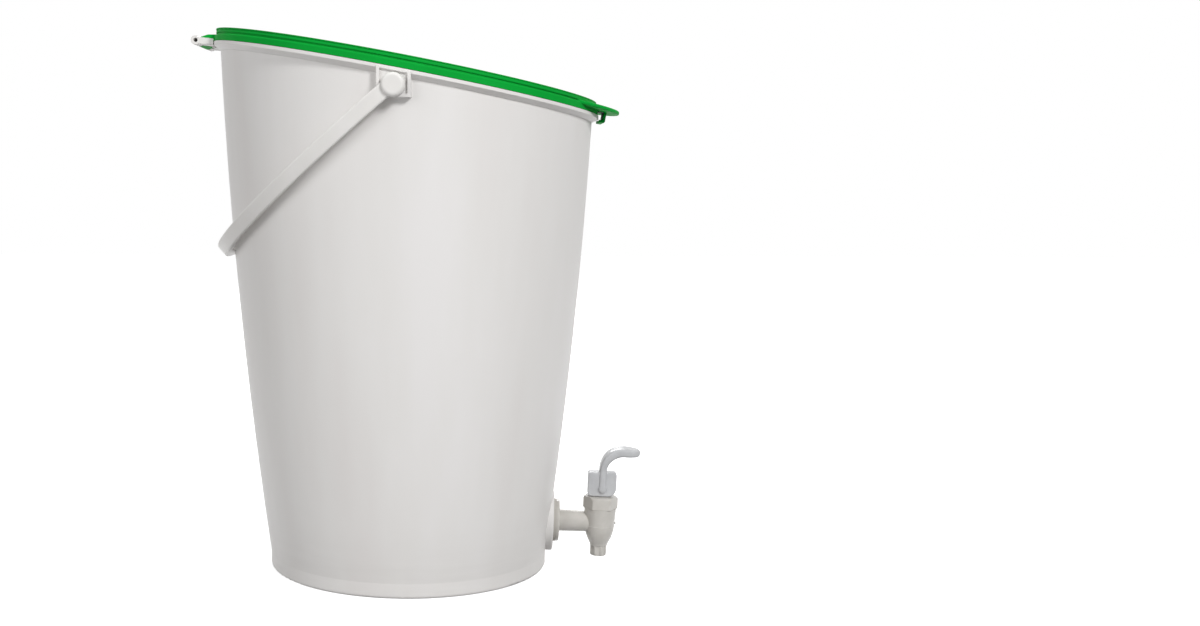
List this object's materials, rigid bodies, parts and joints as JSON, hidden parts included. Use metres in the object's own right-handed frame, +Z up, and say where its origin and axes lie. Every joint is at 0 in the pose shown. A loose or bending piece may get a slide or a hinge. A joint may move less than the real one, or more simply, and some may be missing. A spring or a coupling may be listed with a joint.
{
  "type": "kitchen composting bucket",
  "caption": "Tapered kitchen bucket for fermenting food scraps, with a slanted hinged lid, bail handle, perforated strainer plate and drain tap with a lever.",
  "frame": {"origin": "centre of the round foot ring, in the plane that the bucket stands on", "axes": "+Z up, +X to the tap and the low side of the slanted rim, -X to the lid's hinge, handle pivots along Y"},
  "size_m": [0.3337, 0.299, 0.3992],
  "materials": {
    "bucket_plastic": "moulded, soft sheen, warm light grey",
    "lid_plastic": "moulded, soft sheen, bright green",
    "tap_plastic": "moulded, soft sheen, beige grey",
    "lever_plastic": "moulded, smooth, cool light grey",
    "seal_rubber": "soft, matt, pale",
    "bright_steel": "drawn stainless wire"
  },
  "bodies": {
    "bucket": {"bucket": "bucket_plastic", "tap_body": "tap_plastic", "tap_bonnet": "tap_plastic", "tap_bonnet_seal": "seal_rubber", "tap_outer_washer": "seal_rubber", "tap_inner_washer": "seal_rubber", "tap_nut": "tap_plastic", "tap_spring": "bright_steel"},
    "lid": {"lid": "lid_plastic"},
    "handle": {"handle": "bucket_plastic"},
    "strainer": {"strainer_plate": "bucket_plastic"},
    "stem": {"tap_stem": "tap_plastic", "tap_seat_cup": "seal_rubber", "tap_lever_pin": "bright_steel"},
    "lever": {"tap_lever": "lever_plastic"}
  },
  "joints": [
    {"name": "lid_hinge", "type": "hinge", "parent": "bucket", "child": "lid", "pos_m": [-0.153, 0, 0.39091], "axis": [0, -1, 0], "range_deg": [0, 190]},
    {"name": "handle_swing", "type": "hinge", "parent": "bucket", "child": "handle", "pos_m": [0, 0, 0.3513], "axis": [0, 1, 0], "range_deg": [0, 259]},
    {"name": "strainer_lift", "type": "slide", "parent": "bucket", "child": "strainer", "axis": [0, 0, 1], "range_m": [0, 0.2]},
    {"name": "stem_lift", "type": "slide", "parent": "bucket", "child": "stem", "axis": [0.0349, 0, 0.9994], "range_m": [0, 0.00265], "deforming": ["tap_spring"]},
    {"name": "lever_tilt", "type": "hinge", "parent": "stem", "child": "lever", "pos_m": [0.14602, 0, 0.05805], "axis": [0, 1, 0], "range_deg": [0, 30], "stiffness_Nm_per_rad": 0.08, "springref_deg": -14.32}
  ],
  "couplings": [
    {"joint": "stem_lift", "follows": "lever_tilt", "m_per_rad": 0.005}
  ]
}
